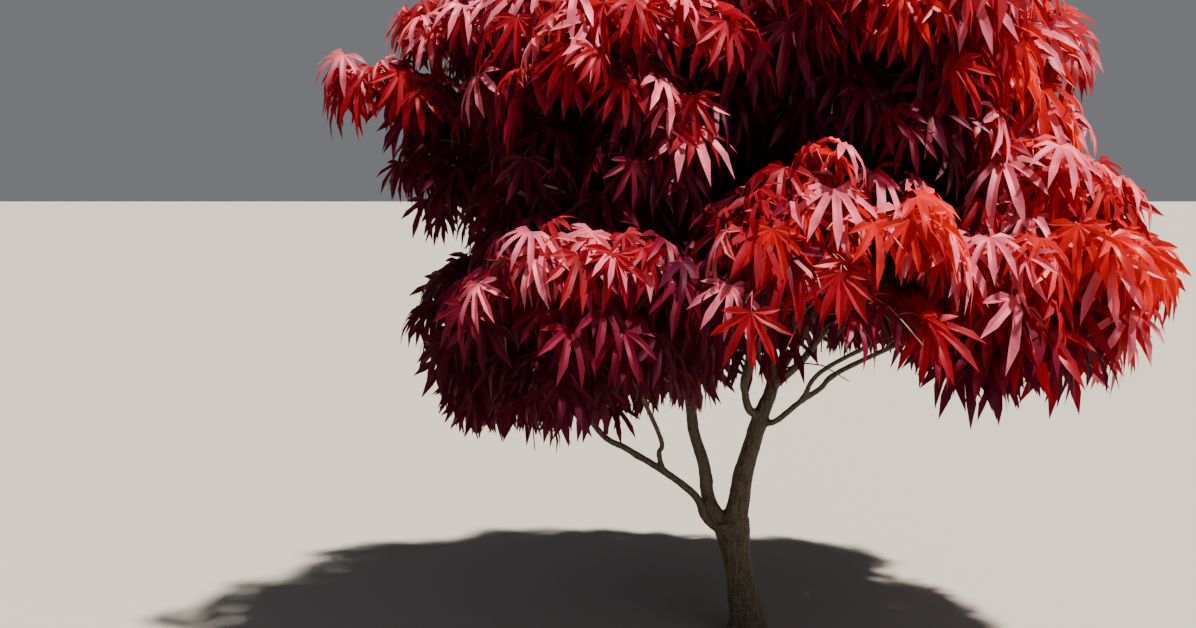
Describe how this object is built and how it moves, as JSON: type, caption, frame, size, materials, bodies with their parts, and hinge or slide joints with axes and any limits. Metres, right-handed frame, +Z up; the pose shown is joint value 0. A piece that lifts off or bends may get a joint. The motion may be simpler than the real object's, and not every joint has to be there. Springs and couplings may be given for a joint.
{
  "type": "japanese maple tree",
  "caption": "Young rooted maple: a short leaning trunk that forks low into a vase of tapering boughs, under a broad drooping crown of lobed wine-red leaves.",
  "frame": {"origin": "centre of the flat cut under the trunk, at ground level", "axes": "+Z up along the rise of the tree, +X to the right and +Y away from the viewer, as seen from the front"},
  "size_m": [1.2877, 1.0932, 1.2298],
  "materials": {
    "bark": "smooth young grey-brown bark with a faint olive cast, fine cracks and small pores",
    "foliage_low": "deep burgundy leaves, half matt, in the shade of the crown",
    "foliage_mid": "crimson leaves, satin, with lighter veins",
    "foliage_top": "scarlet leaves, satin, that let sunlight through"
  },
  "bodies": {
    "root": {"trunk": "bark", "leader": "bark", "bough_left": "bark", "bough_low_left": "bark", "bough_low_right": "bark", "limb_centre": "bark", "limb_right": "bark", "limb_front_right": "bark", "limb_front_left": "bark", "limb_mid_front_left": "bark", "limb_front": "bark", "limb_back_left": "bark", "limb_mid_back_left": "bark", "limb_top_left": "bark", "limb_back_right": "bark", "limb_back": "bark", "limb_mid_back_right": "bark", "limb_mid_back": "bark", "limb_top_back": "bark", "foliage_low_left": "foliage_low", "foliage_low_front_left": "foliage_low", "foliage_low_front": "foliage_low", "foliage_low_front_right": "foliage_low", "foliage_low_right": "foliage_low", "foliage_low_back_right": "foliage_low", "foliage_low_back": "foliage_low", "foliage_low_back_left": "foliage_low", "foliage_mid_left": "foliage_mid", "foliage_mid_front_left": "foliage_mid", "foliage_mid_front_right": "foliage_mid", "foliage_mid_right": "foliage_mid", "foliage_mid_back_right": "foliage_mid", "foliage_mid_back": "foliage_mid", "foliage_mid_back_left": "foliage_mid", "foliage_top_left": "foliage_top", "foliage_top_right": "foliage_top", "foliage_top_back": "foliage_top"}
  },
  "joints": []
}
